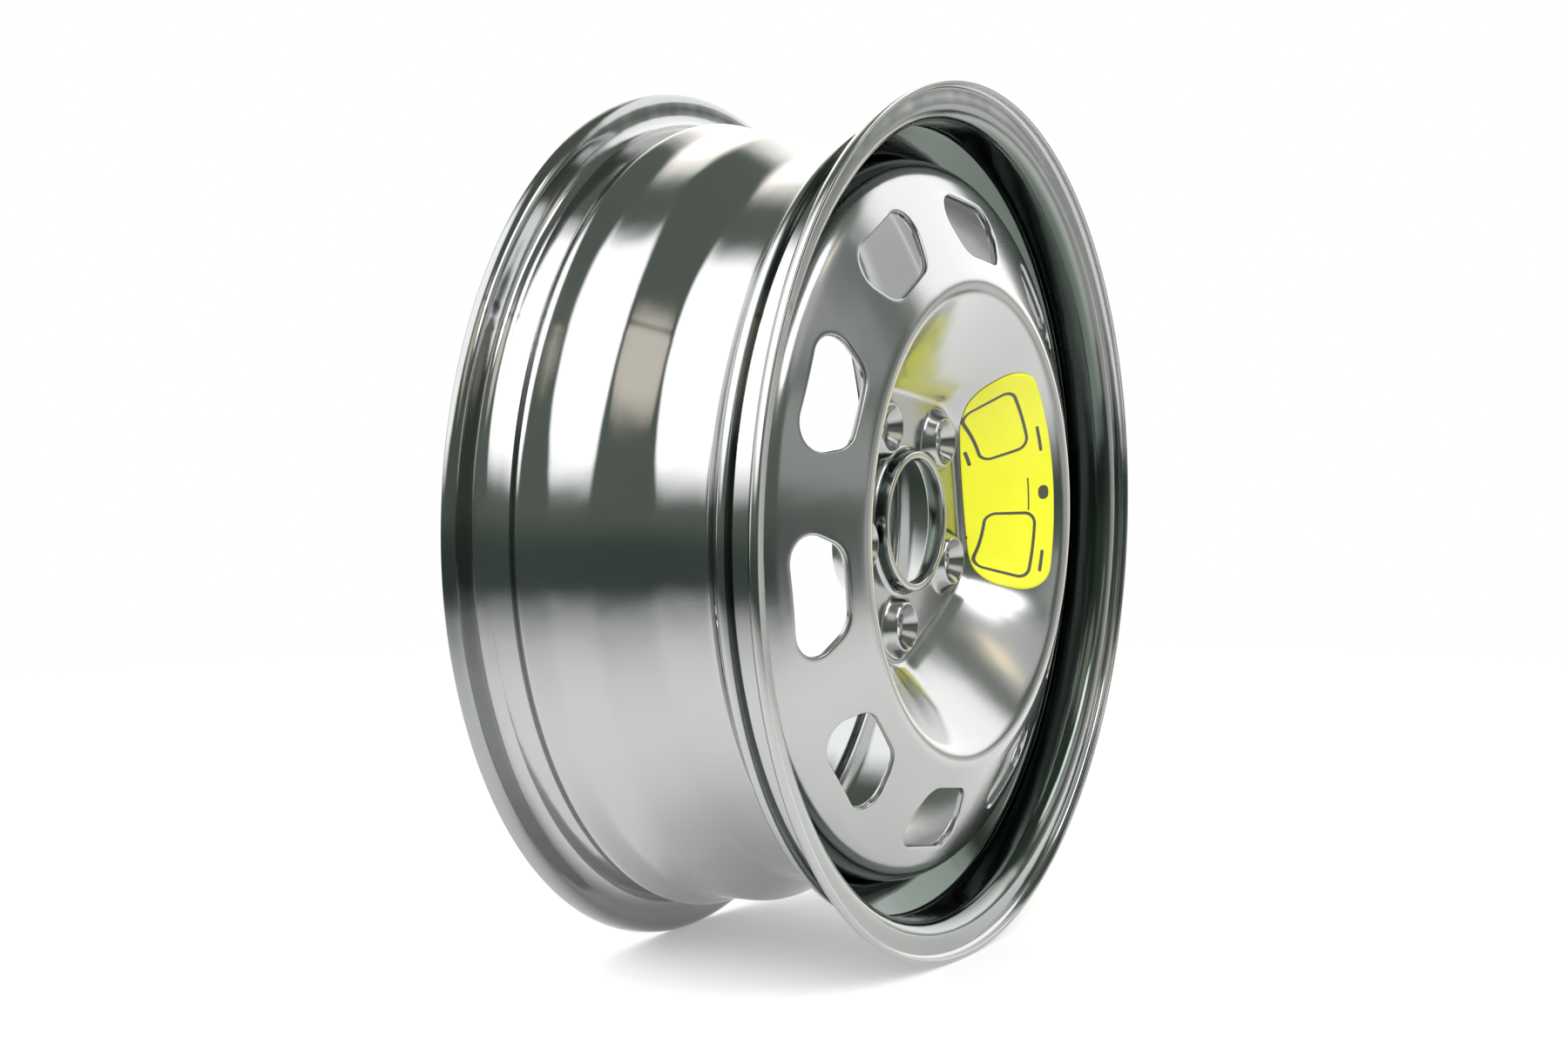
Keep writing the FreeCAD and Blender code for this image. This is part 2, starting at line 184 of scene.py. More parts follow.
def sheet_mesh(name, sheet, columns, holes, cap_steps=5, cap_bulge=EDGE_ROUND):
    """Closed mesh of a turned sheet. The section's loop (outer line, end cap, inner line, start cap) is
    carried round the axis as one grid, and each hole replaces a block of cells on both faces by rings that
    run from the block's edge to the hole, through its wall and out to the block's edge on the other face."""
    count = len(sheet.s)
    angle = np.linspace(0, 2 * np.pi, columns, endpoint=False)
    outer = sheet.place(sheet.s[:, None], angle[None], 0.0)
    inner = sheet.place(sheet.s[:, None], angle[None], sheet.thickness)

    def cap_rows(row):
        """An end cap's points, turned about the axis."""
        radius, axial = sheet.end_cap(row, cap_steps, cap_bulge)
        return np.stack([radius[:, None] * np.cos(angle), np.repeat(axial[:, None], columns, 1),
                         radius[:, None] * np.sin(angle)], -1)

    loop = np.concatenate([outer, cap_rows(count - 1), inner[::-1], cap_rows(0)[::-1]])
    total = len(loop)
    index = np.arange(total * columns).reshape(total, columns)
    keep = np.ones((total, columns), bool)
    verts = [loop.reshape(-1, 3)]
    faces = []
    used = total * columns

    def inner_row(row):
        """Row of the loop on the inner face that lies behind a row of the outer line."""
        return count + cap_steps + (count - 1 - row)

    for hole in holes:
        first, last = hole["rows"]
        middle = int(round(math.degrees(hole["angle"]) * columns / 360))
        cols = np.arange(middle - hole["half_columns"], middle + hole["half_columns"] + 1)
        wrapped = cols % columns
        keep[first:last][:, wrapped[:-1]] = False
        keep[inner_row(last):inner_row(first)][:, wrapped[:-1]] = False
        span = np.arange(first, last + 1)
        wide, tall = len(cols) - 1, len(span) - 1
        edge_row = np.concatenate([np.full(wide, first), span[:-1], np.full(wide, last), span[:0:-1]])
        edge_col = np.concatenate([cols[:-1], np.full(tall, cols[-1]), cols[:0:-1], np.full(tall, cols[0])])
        s0, r0, rate = hole["s"], hole["radius"], hole["rate"]
        front_edge, rear_edge = outer[edge_row, edge_col % columns], inner[edge_row, edge_col % columns]
        turn = edge_col * 2 * np.pi / columns - hole["angle"]
        edge_radius = r0 + (sheet.s[edge_row] - s0) * rate
        if hole["flat"]:
            edge_radius = np.hypot(front_edge[:, 0], front_edge[:, 2])
        edge_u = (edge_radius * np.cos(turn) - r0) / rate
        edge_v = edge_radius * np.sin(turn)
        heading = np.arctan2(edge_v, edge_u)
        reach = np.hypot(edge_u, edge_v)

        def ring(grow):
            """The hole's outline, grown. Where it comes near the block's edge, a tanh holds it inside."""
            near = outline_reach(hole["distance"], heading, 1.5 * reach, grow)
            calm = RING_ROOM * reach
            spare = reach - calm
            near = np.where(near < calm, near, calm + spare * np.tanh((near - calm) / spare))
            return near * np.cos(heading), near * np.sin(heading)

        share = np.linspace(0, 1, HOLE_BLEND + 1)[1:-1, None]
        rings = np.array([ring(grow) for grow, _ in hole["rings"]])
        depth = np.array([depth for _, depth in hole["rings"]])[:, None]
        edge = np.array([edge_u, edge_v])
        lead = edge + (rings[0] - edge) * share[:, :, None]
        tail = rings[-1] + (edge - rings[-1]) * share[:, :, None]
        u, v = np.concatenate([lead, rings, tail]).transpose(1, 0, 2)
        depth = np.concatenate([0 * share, depth, 0 * share + sheet.thickness])
        across = r0 + u * rate
        radius = np.hypot(across, v)
        turn = hole["angle"] + np.arctan2(v, across)
        patch = sheet.place(s0 + (radius - r0) / rate, turn, depth, not hole["flat"])
        if hole["flat"]:
            blend = len(share)
            foot, back = patch[blend], patch[-blend - 1]
            patch[:blend] = front_edge + (foot - front_edge) * share[:, :, None]
            patch[-blend:] = back + (rear_edge - back) * share[:, :, None]
        ids = used + np.arange(patch.shape[0] * patch.shape[1]).reshape(patch.shape[:2])
        used += ids.size
        verts.append(patch.reshape(-1, 3))
        front = index[edge_row, edge_col % columns][None]
        rear = index[inner_row(edge_row), edge_col % columns][None]
        ids = np.concatenate([front, ids, rear])
        after = np.roll(ids, -1, axis=1)
        faces.append(np.stack([ids[:-1], ids[1:], after[1:], after[:-1]], -1).reshape(-1, 4))

    below = np.roll(index, -1, axis=0)
    quads = np.stack([index, below, np.roll(below, -1, axis=1), np.roll(index, -1, axis=1)], -1)
    faces.insert(0, quads[keep])
    return put_mesh(name, np.concatenate(verts) * MM, np.concatenate(faces))


def put_mesh(name, verts, quads):
    """New smooth object at the origin from an array of points and an array of four corners a face. Faces of a
    closed surface are turned outwards if its signed volume comes out negative."""
    first, second, third, fourth = verts[quads].transpose(1, 0, 2)
    area = np.cross(second - first, third - first) + np.cross(third - first, fourth - first)
    if np.einsum("ij,ij->", area, first) < 0:
        quads = quads[:, ::-1]
    used = np.unique(quads)
    renumber = np.zeros(len(verts), int)
    renumber[used] = np.arange(len(used))
    mesh = bpy.data.meshes.new(name)
    mesh.from_pydata(verts[used], [], renumber[quads].tolist())
    mesh.polygons.foreach_set("use_smooth", np.ones(len(mesh.polygons), bool))
    mesh.update()
    made = bpy.data.objects.new(name, mesh)
    bpy.context.scene.collection.objects.link(made)
    return made


def rim_corners():
    """Tyre-side corners from the inboard lip, over both seats and the well, to the outboard lip."""
    half = [(LIP_RADIUS, LIP_AXIAL - EDGE_ROUND, 0), (LIP_RADIUS, FLANGE_WALL, FLANGE_ROLL - EDGE_ROUND),
            (SEAT_RADIUS, FLANGE_WALL, HEEL_ROUND), (*HUMP_FOOT, HUMP_ROUND), (*HUMP_CREST, HUMP_ROUND)]
    middle = [(LEDGE_RADIUS, LEDGE_SPAN[0], LEDGE_ROUND), (LEDGE_RADIUS, LEDGE_SPAN[1], LEDGE_ROUND),
              (WELL_RADIUS, WELL_SPAN[0], LEDGE_ROUND), (WELL_RADIUS, WELL_SPAN[1], WELL_ROUND)]
    return half + middle + [(radius, -axial, bend) for radius, axial, bend in reversed(half)]


def punched_rings(thickness, rounding):
    """Growth and depth of the rings round a punched hole: a flat land, a quarter-round edge, the straight
    wall, a quarter round and the land behind."""
    phi = np.linspace(0, np.pi / 2, 5)
    front = np.stack([rounding * (1 - np.sin(phi)), rounding * (1 - np.cos(phi))], 1)
    back = np.stack([front[::-1, 0], thickness - front[::-1, 1]], 1)
    land = 2.0 * rounding + HOLE_LAND
    return [(land, 0.0), *map(tuple, front), *map(tuple, back), (land, thickness)]


rim_sheet = BentSheet(rim_corners(), RIM_SHEET, -1.0, *RIM_STEPS)
valve_place = ((WELL_RADIUS + HUMP_CREST[0]) / 2, (WELL_SPAN[1] - HUMP_CREST[1]) / 2)
valve_row = rim_sheet.row_at(*valve_place)
well_rise = HUMP_CREST[0] - WELL_RADIUS
valve_rate = well_rise / math.hypot(well_rise, HUMP_CREST[1] + WELL_SPAN[1])
valve_rows = np.flatnonzero(np.abs(rim_sheet.s - rim_sheet.s[valve_row]) < VALVE_BLOCK)
valve_hole = {
    "rows": (int(valve_rows[0]), int(valve_rows[-1])), "half_columns": 3,
    "angle": math.radians(VALVE_ANGLE), "s": rim_sheet.s[valve_row], "radius": rim_sheet.radius[valve_row],
    "rate": valve_rate, "flat": False, "distance": lambda u, v: np.hypot(u, v) - VALVE_HOLE_RADIUS,
    "rings": punched_rings(RIM_SHEET, HOLE_EDGE_ROUND),
}
rim = sheet_mesh("rim_band", rim_sheet, COLUMNS, [valve_hole])


def ecoat(name, tint, roughness, ripple, sway, seam=None):
    """Gloss electro-coat: a dark mirror-like film whose tint and roughness drift slowly, with a fine
    orange-peel ripple, on steel that sways by a share of a millimetre. A stored attribute mixes a dark
    painted-shade colour into the tint, so that shade is painted onto the coat where it is below one. A seam
    (direction, width, height) raises a low ridge where the distance to its plane is nothing."""
    material = bpy.data.materials.new(name)
    material.use_nodes = True
    nodes, links = material.node_tree.nodes, material.node_tree.links
    shader = nodes["Principled BSDF"]
    shader.inputs["Metallic"].default_value = 1.0
    coords = nodes.new("ShaderNodeTexCoord")
    drift = nodes.new("ShaderNodeTexNoise")
    drift.inputs["Scale"].default_value = DRIFT_SCALE
    drift.inputs["Detail"].default_value = 4.0
    links.new(coords.outputs["Object"], drift.inputs["Vector"])
    colour = nodes.new("ShaderNodeValToRGB")
    colour.color_ramp.elements[0].position = 0.3
    colour.color_ramp.elements[0].color = (*[c * COAT_TINT_DIP for c in tint], 1)
    colour.color_ramp.elements[1].position = 0.7
    colour.color_ramp.elements[1].color = (*tint, 1)
    links.new(drift.outputs["Fac"], colour.inputs["Fac"])
    # Painted shade: the stored attribute pulls the coat's colour towards the dark shade colour.
    shade = nodes.new("ShaderNodeAttribute")
    shade.attribute_name = "gloss_and_painted_shade"
    painted_shade_mix = nodes.new("ShaderNodeMixRGB")
    painted_shade_mix.inputs["Color1"].default_value = (*COAT_SHADE_COLOUR, 1)
    links.new(shade.outputs["Fac"], painted_shade_mix.inputs["Fac"])
    links.new(colour.outputs["Color"], painted_shade_mix.inputs["Color2"])
    links.new(painted_shade_mix.outputs["Color"], shader.inputs["Base Color"])
    gloss_and_painted_shade = nodes.new("ShaderNodeMapRange")
    gloss_and_painted_shade.inputs["To Min"].default_value = roughness * ROUGHNESS_SPREAD[0]
    gloss_and_painted_shade.inputs["To Max"].default_value = roughness * ROUGHNESS_SPREAD[1]
    links.new(drift.outputs["Fac"], gloss_and_painted_shade.inputs["Value"])
    links.new(gloss_and_painted_shade.outputs["Result"], shader.inputs["Roughness"])
    peel = nodes.new("ShaderNodeTexNoise")
    peel.inputs["Scale"].default_value = RIPPLE_SCALE
    peel.inputs["Detail"].default_value = 2.0
    links.new(coords.outputs["Object"], peel.inputs["Vector"])
    bump = nodes.new("ShaderNodeBump")
    bump.inputs["Strength"].default_value = ripple
    bump.inputs["Distance"].default_value = RIPPLE_HEIGHT * MM
    links.new(peel.outputs["Fac"], bump.inputs["Height"])
    links.new(bump.outputs["Normal"], shader.inputs["Normal"])
    swell = nodes.new("ShaderNodeTexNoise")
    swell.inputs["Scale"].default_value = SWAY_SCALE
    swell.inputs["Detail"].default_value = 1.0
    links.new(coords.outputs["Object"], swell.inputs["Vector"])
    steel = nodes.new("ShaderNodeBump")
    steel.inputs["Distance"].default_value = sway * MM
    links.new(swell.outputs["Fac"], steel.inputs["Height"])
    links.new(steel.outputs["Normal"], bump.inputs["Normal"])
    if seam:
        direction, width, height = seam
        across = nodes.new("ShaderNodeVectorMath")
        across.operation = "DOT_PRODUCT"
        across.inputs[1].default_value = (-direction[2], 0, direction[0])
        along = nodes.new("ShaderNodeVectorMath")
        along.operation = "DOT_PRODUCT"
        along.inputs[1].default_value = direction
        size = nodes.new("ShaderNodeMath")
        size.operation = "ABSOLUTE"
        ridge = nodes.new("ShaderNodeMapRange")
        ridge.interpolation_type = "SMOOTHERSTEP"
        ridge.inputs["From Min"].default_value = width
        ridge.inputs["From Max"].default_value = 0.0
        near_side = nodes.new("ShaderNodeMath")
        near_side.operation = "GREATER_THAN"
        near_side.inputs[1].default_value = 0.0
        kept = nodes.new("ShaderNodeMath")
        kept.operation = "MULTIPLY"
        rise = nodes.new("ShaderNodeBump")
        rise.inputs["Distance"].default_value = height
        links.new(coords.outputs["Object"], across.inputs[0])
        links.new(coords.outputs["Object"], along.inputs[0])
        links.new(across.outputs["Value"], size.inputs[0])
        links.new(size.outputs[0], ridge.inputs["Value"])
        links.new(along.outputs["Value"], near_side.inputs[0])
        links.new(ridge.outputs["Result"], kept.inputs[0])
        links.new(near_side.outputs[0], kept.inputs[1])
        links.new(kept.outputs[0], rise.inputs["Height"])
        links.new(rise.outputs["Normal"], steel.inputs["Normal"])
    return material


def set_painted_shade(made, gloss_and_painted_shade):
    """Stores at each vertex the coat's painted shade, from nothing, painted darkest, to one, unshaded, which
    the function passed in gives for a radius and an axial place in millimetres."""
    flat = np.empty(3 * len(made.data.vertices))
    made.data.vertices.foreach_get("co", flat)
    x, axial, z = flat.reshape(-1, 3).T / MM
    stored = made.data.attributes.new("gloss_and_painted_shade", "FLOAT", "POINT")
    stored.data.foreach_set("value", gloss_and_painted_shade(np.hypot(x, z), axial))


def rim_painted_shade(radius, axial):
    """Painted shade of the rim: full on the tyre side and painted a little darker on the inboard flange. On
    the air side, known by being nearer to the sheet's inner line than to its outer one, painted nearly black
    as shade from the flange to the disc and less dark behind it."""
    here = np.stack([radius, axial], 1)[:, None]
    line = np.stack([rim_sheet.radius, rim_sheet.axial], 1)
    outer_gap = np.linalg.norm(here - line, axis=2).min(1)
    inner_gap = np.linalg.norm(here - line - rim_sheet.normal * RIM_SHEET, axis=2).min(1)
    flange = np.interp(radius, FLANGE_SHADE_RADII, (1.0, FLANGE_SHADE))
    air = np.interp(axial, AIR_SIDE, AIR_SIDE_SHADE)
    return np.where(axial > 0, flange, 1.0) * np.where(inner_gap < outer_gap, air, 1.0)


set_painted_shade(rim, rim_painted_shade)
seam_angle = math.radians(BUTT_WELD_ANGLE)
butt_weld = ((math.cos(seam_angle), 0, math.sin(seam_angle)), BUTT_WELD_WIDTH * MM, BUTT_WELD_HEIGHT * MM)
rim_coat = ecoat("gloss_ecoat_rim", COAT_TINT, COAT_ROUGHNESS, COAT_RIPPLE, RIM_SWAY, butt_weld)
rim.data.materials.append(rim_coat)
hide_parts("rim")
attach(rim, "root")

# Disc. One steel pressing: a hub plate with a drawn collar and five raised bolt seats, a dish, a rounded
# crest, a cone with ten punched windows, and a skirt that is pressed into the well of the rim.
DISC_SHEET = 3.8
PLATE_FACE = -47.0
BORE_RADIUS = 31.7
COLLAR_FRONT = -55.0
COLLAR_ROUND = 3.2
HUB_FLAT = 64.0
HUB_CORNER = 22.0
DISH_FOOT_ROUND = 6.0
DISH_DEPTH = 42.2
WALL_CROWN = 2.4
WALL_ROUND = 320.0
CREST_CORNER = 118.5
CREST_ROUND = 12.0
CONE_ANGLE = math.radians(23.3)
SHOULDER_ROUND = 17.0
SKIRT_RADIUS = WELL_RADIUS - RIM_SHEET
SKIRT_END = -17.0
PATTERN_ANGLE = 9.9
WINDOW_COUNT = 10
WINDOW_RADIUS = 148.4
WINDOW_WIDTH = 53.0
WINDOW_LENGTH = 32.6
WINDOW_TAPER = 4.0
WINDOW_CORNER = 13.0
WINDOW_EDGE = 1.1
BOLT_COUNT = 5
BOLT_RADIUS = 54.0
BOLT_HOLE = 7.5
BOSS_TOP = 12.5
BOSS_FOOT = 17.0
BOSS_HEIGHT = 6.2
BOSS_LAND = 3.0
BOSS_FOOT_ROUND = 2.2
BOSS_TOP_ROUND = 0.8
SEAT_MOUTH = 11.6
SEAT_MOUTH_ROUND = 0.25
SEAT_DEPTH = 6.6
SEAT_END_ROUND = 0.5
BOLT_HOLE_EDGE = 0.6
BOSS_STEPS = (1.6, 30.0)
PULL_END = 5.5
DISC_STEPS = (2.6, 6.0)
WINDOW_BLOCK = (6.0, 10.0)
DISC_ROUGHNESS = 0.17
DISC_SWAY = 0.2
# Painted shade on the wall of the collar inside the bore: nearly black.
COLLAR_SHADE = 0.05

half_step = math.pi / BOLT_COUNT
hub_centre = (HUB_FLAT - HUB_CORNER) / math.cos(half_step)
hub_mean = (HUB_FLAT + hub_centre + HUB_CORNER) / 2
crest_axial = PLATE_FACE - DISH_DEPTH
cone_slope = math.tan(CONE_ANGLE)
collar_radius = BORE_RADIUS + DISC_SHEET
wall_length = math.hypot(CREST_CORNER - hub_mean, DISH_DEPTH)
wall_crown = ((hub_mean + CREST_CORNER) / 2 - WALL_CROWN * DISH_DEPTH / wall_length,
              (PLATE_FACE + crest_axial) / 2 - WALL_CROWN * (CREST_CORNER - hub_mean) / wall_length)
disc_corners = [
    (collar_radius, COLLAR_FRONT + EDGE_ROUND, 0), (collar_radius, PLATE_FACE, COLLAR_ROUND),
    (hub_mean, PLATE_FACE, DISH_FOOT_ROUND), (*wall_crown, WALL_ROUND),
    (CREST_CORNER, crest_axial, CREST_ROUND),
    (SKIRT_RADIUS, crest_axial + (SKIRT_RADIUS - CREST_CORNER) * cone_slope, SHOULDER_ROUND),
    (SKIRT_RADIUS, SKIRT_END - EDGE_ROUND, 0),
]


def hub_pull(radius, axial, angle):
    """How far the five-sided foot of the dish lies outside its mean circle at an angle: an arc about each
    bolt's corner and a straight side between two of them, fading to nothing at the crest and the collar."""
    step = 2 * half_step
    off = np.abs((angle - math.radians(PATTERN_ANGLE)) % step - half_step)
    arc = hub_centre * np.cos(off) + np.sqrt(np.maximum(HUB_CORNER ** 2 - (hub_centre * np.sin(off)) ** 2, 0))
    spread = math.atan2(HUB_CORNER * math.sin(half_step), hub_centre + HUB_CORNER * math.cos(half_step))
    outline = np.where(off < spread, arc, HUB_FLAT / np.cos(half_step - off))
    up = np.clip(1 - (PLATE_FACE - axial) / (DISH_DEPTH - PULL_END), 0, 1)
    collar_foot = collar_radius + COLLAR_ROUND
    inward = np.clip((radius - collar_foot) / (hub_mean - collar_foot), 0, 1)
    return (outline - hub_mean) * up * inward * (radius < CREST_CORNER)


disc_sheet = BentSheet(disc_corners, DISC_SHEET, 1.0, *DISC_STEPS, hub_pull)


def rounded_outline(corners, rounding):
    """Distance to a convex outline with rounded corners: the distance to the polygon of its corners' centres,
    which runs anticlockwise, less the rounding."""
    corners = np.array(corners)
    edges = np.roll(corners, -1, axis=0) - corners

    def distance(u, v):
        """The gap to the nearest side of the polygon, negative within it, less the rounding."""
        to_point = np.stack([u, v], -1)[..., None, :] - corners
        share = np.clip((to_point * edges).sum(-1) / (edges ** 2).sum(-1), 0, 1)
        gap = np.linalg.norm(to_point - edges * share[..., None], axis=-1).min(-1)
        side = (edges[:, 0] * to_point[..., 1] - edges[:, 1] * to_point[..., 0]).min(-1)
        return np.where(side > 0, -gap, gap) - rounding

    return distance


def window_outline():
    """Trapezoid with the corner radius taken off all round, wider away from the axis."""
    half_length = WINDOW_LENGTH / 2 - WINDOW_CORNER
    wide = WINDOW_WIDTH / 2 + WINDOW_TAPER / 2 - WINDOW_CORNER
    slim = WINDOW_WIDTH / 2 - WINDOW_TAPER / 2 - WINDOW_CORNER
    corners = [(-half_length, -slim), (half_length, -wide), (half_length, wide), (-half_length, slim)]
    return rounded_outline(corners, WINDOW_CORNER)


def boss_rings():
    """Rings of a bolt seat from its foot to the back of the plate: up the boss, over its rounded top, down
    the cone seat and through the hole. Growth is counted from the hole's wall, depth is negative outboard."""
    corners = [
        (BOSS_FOOT + BOSS_LAND, 0.0, 0), (BOSS_FOOT, 0.0, BOSS_FOOT_ROUND),
        (BOSS_TOP, -BOSS_HEIGHT, BOSS_TOP_ROUND), (SEAT_MOUTH, -BOSS_HEIGHT, SEAT_MOUTH_ROUND),
        (BOLT_HOLE, SEAT_DEPTH - BOSS_HEIGHT, SEAT_END_ROUND), (BOLT_HOLE, DISC_SHEET, BOLT_HOLE_EDGE),
        (BOSS_TOP, DISC_SHEET, 0),
    ]
    line, _ = bent_path(corners, *BOSS_STEPS)
    step = np.concatenate([[True], np.linalg.norm(np.diff(line, axis=0), axis=1) > 1e-6])
    return [(radius - BOLT_HOLE, depth) for radius, depth in line[step]]


cone_middle = crest_axial + (WINDOW_RADIUS - CREST_CORNER) * cone_slope
window_row = disc_sheet.row_at(WINDOW_RADIUS, cone_middle)
window_rate = math.cos(CONE_ANGLE)
window_s = disc_sheet.s[window_row] + (WINDOW_RADIUS - disc_sheet.radius[window_row]) / window_rate
window_rows = np.flatnonzero((disc_sheet.s > window_s - WINDOW_LENGTH / 2 - WINDOW_BLOCK[0])
                             & (disc_sheet.s < window_s + WINDOW_LENGTH / 2 + WINDOW_BLOCK[1]))
bolt_row = disc_sheet.row_at(BOLT_RADIUS, PLATE_FACE)
bolt_s = disc_sheet.s[bolt_row] + BOLT_RADIUS - disc_sheet.radius[bolt_row]
bolt_rows = np.flatnonzero((disc_sheet.radius > collar_radius + COLLAR_ROUND - 0.1)
                           & (disc_sheet.radius < hub_mean) & (disc_sheet.axial > PLATE_FACE - 0.01))
holes = []
for k in range(WINDOW_COUNT):
    holes.append({
        "rows": (int(window_rows[0]), int(window_rows[-1])), "half_columns": 15,
        "angle": math.radians(PATTERN_ANGLE + k * 360 / WINDOW_COUNT), "s": window_s, "radius": WINDOW_RADIUS,
        "rate": window_rate, "flat": False, "distance": window_outline(),
        "rings": punched_rings(DISC_SHEET, WINDOW_EDGE),
    })
for k in range(BOLT_COUNT):
    holes.append({
        "rows": (int(bolt_rows[0]), int(bolt_rows[-1])), "half_columns": 26,
        "angle": math.radians(PATTERN_ANGLE + (k + 0.5) * 360 / BOLT_COUNT), "s": bolt_s,
        "radius": BOLT_RADIUS, "rate": 1.0, "flat": True, "distance": lambda u, v: np.hypot(u, v) - BOLT_HOLE,
        "rings": boss_rings(),
    })
disc = sheet_mesh("disc_pressing", disc_sheet, COLUMNS, holes)


def disc_painted_shade(radius, axial):
    """Painted shade of the disc: full, unshaded, all over, apart from the wall of the collar behind its front
    edge, which is painted nearly black as shade.
    """
    wall = (radius < collar_radius + 0.5) & (axial > COLLAR_FRONT + 1.2)
    return np.where(wall, COLLAR_SHADE, 1.0)


set_painted_shade(disc, disc_painted_shade)
disc.data.materials.append(ecoat("gloss_ecoat_disc", COAT_TINT, DISC_ROUGHNESS, COAT_RIPPLE, DISC_SWAY))
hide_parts("wheel_disc")
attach(disc, "root")

# Welds. Ten stitches of rippled weld metal in the corner between the end of the skirt and the well, laid by
# a robot after the disc is pressed in and coated with the rest of the wheel.
WELD_COUNT = 10
WELD_LEG = 3.4
WELD_ARC = math.radians(21.0)
WELD_BULGE = 0.5
WELD_RIPPLE = 0.16
RIPPLES = 26
RIPPLE_BEND = 0.012
NOSE_POWER = 14
NOSE_LEFT = 0.03
WELD_ROWS = 131
WELD_TINT = (0.4, 0.41, 0.41)
WELD_ROUGHNESS = 0.25
WELD_GRAIN = 0.3
WELD_SWAY = 0.1


def weld_bead(middle):
    """One stitch as a closed grid. Across it the loop runs over the bulged face and back along the well and
    the skirt's end. Along it the loop keeps its size and closes to a rounded nose at both ends, with crescent
    ripples whose height is the size of a sine of the way along, bent back by the square of the way across."""
    way = np.sin(np.linspace(-np.pi / 2, np.pi / 2, WELD_ROWS))[:, None]
    size = np.maximum(1 - np.abs(way) ** NOSE_POWER, 0) ** 0.5 * (1 - NOSE_LEFT) + NOSE_LEFT
    across = np.linspace(0, 1, 11)[None]
    crescent = np.abs(np.sin(np.pi * RIPPLES * (way / 2 + RIPPLE_BEND * (2 * across - 1) ** 2)))
    face = np.sqrt(0.5) * np.sin(np.pi * across) * (WELD_BULGE + WELD_RIPPLE * crescent)
    down = np.concatenate([WELD_LEG * (1 - across) + face, np.zeros((len(way), 5))], 1) * size
    back = WELD_LEG * np.linspace(0.83, 0, 5) * np.ones_like(way)
    inboard = np.concatenate([WELD_LEG * across + face, back], 1) * size
    angle = middle + way * WELD_ARC / 2
    radius = SKIRT_RADIUS - down
    return np.stack([radius * np.cos(angle), SKIRT_END + inboard, radius * np.sin(angle)], -1)


beads = np.array([weld_bead(k * 2 * np.pi / WELD_COUNT) for k in range(WELD_COUNT)])
ids = np.arange(beads[..., 0].size).reshape(beads.shape[:3])
ahead, beside = ids[:, 1:], np.roll(ids, -1, axis=2)
bead_quads = np.stack([ids[:, :-1], beside[:, :-1], beside[:, 1:], ahead], -1).reshape(-1, 4)
ring = ids.shape[2]
caps = [np.stack([end[:, k], end[:, k + 1], end[:, ring - 2 - k], end[:, ring - 1 - k]], -1)
        for end in (ids[:, 0, ::-1], ids[:, -1]) for k in range(ring // 2 - 1)]
welds = put_mesh("weld_stitches", beads.reshape(-1, 3) * MM, np.concatenate([bead_quads, *caps]))
set_painted_shade(welds, lambda radius, axial: np.ones_like(radius))
welds.data.materials.append(ecoat("weld_ecoat", WELD_TINT, WELD_ROUGHNESS, WELD_GRAIN, WELD_SWAY))
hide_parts("weld_beads")
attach(welds, "root")

# Label. A kidney-shaped film of yellow vinyl stuck to the right-hand wall of the dish after coating, printed
# in black with two plain frames, a dot and a few bars.
LABEL_THICKNESS = 0.25
LABEL_GLUE = 0.2
LABEL_FLAT = 66.6
LABEL_OUTER = 109.8
LABEL_SPAN = (-25.5, 48.5)
LABEL_CORNER = 15.0
LABEL_MIDDLE = (88.0, 11.5)
LABEL_YELLOW = (1.0, 0.99, 0.05)
LABEL_PRINT = (0.1, 0.1, 0.08)
LABEL_CELLS = 60
LABEL_STRETCH = 1.5
LABEL_FAR = 90.0
LABEL_ROUGHNESS = 0.22
LABEL_CLOUD_SCALE = 60.0
LABEL_DIP = 0.94
WALL_STEP = 0.7
FRAME_LINE = 1.5
PRINT_EDGE = 0.12
PRINT_SHAPES = [
    ("frame", (48.0, 88.0), (16.5, 12.0), 6.0),
    ("frame", (-16.0, 88.5), (16.5, 12.5), 6.0),
    ("bar", (34.0, 105.0), (6.0, 0.8), 0.8),
    ("bar", (-22.0, 105.0), (5.0, 0.8), 0.8),
    ("bar", (9.0, 97.0), (8.0, 0.4), 0.4),
    ("bar", (9.0, 104.5), (3.2, 2.6), 2.5),
    ("bar", (37.0, 71.5), (5.0, 0.8), 0.8),
    ("bar", (-19.0, 70.5), (4.0, 0.8), 0.8),
]


def label_outline():
    """Straight edge along the hub's flat side, two slanted ends and an arc about the axis, all set in by the
    corner radius, counted from the label's middle."""
    near, far = LABEL_FLAT + LABEL_CORNER, LABEL_OUTER - LABEL_CORNER
    trim = LABEL_CORNER / ((near + far) / 2)
    start, end = (math.radians(t) + turn for t, turn in zip(LABEL_SPAN, (trim, -trim)))
    turns = np.concatenate([[start], np.linspace(start, end, 25), [end]])
    reach = np.full(27, far)
    reach[[0, -1]] = near / np.cos(turns[[0, -1]] - math.radians(PATTERN_ANGLE))
    middle = LABEL_MIDDLE[0] * np.exp(1j * math.radians(LABEL_MIDDLE[1]))
    ring = reach * np.exp(1j * turns) - middle
    return rounded_outline(np.stack([ring.real, ring.imag], 1), LABEL_CORNER)


def on_wall(x, z, depth):
    """Points on the dish wall under flat places (x, z): the way along the sheet's line is stepped by a share
    of the radius that is still missing, until the radius is right."""
    angle, target = np.arctan2(z, x), np.hypot(x, z)
    s = np.interp(target, [hub_mean, CREST_CORNER], [foot_s, crest_s])
    for _ in range(30):
        found = disc_sheet.place(s, angle, depth)
        s = s + WALL_STEP * (target - np.hypot(found[..., 0], found[..., 2]))
    return found


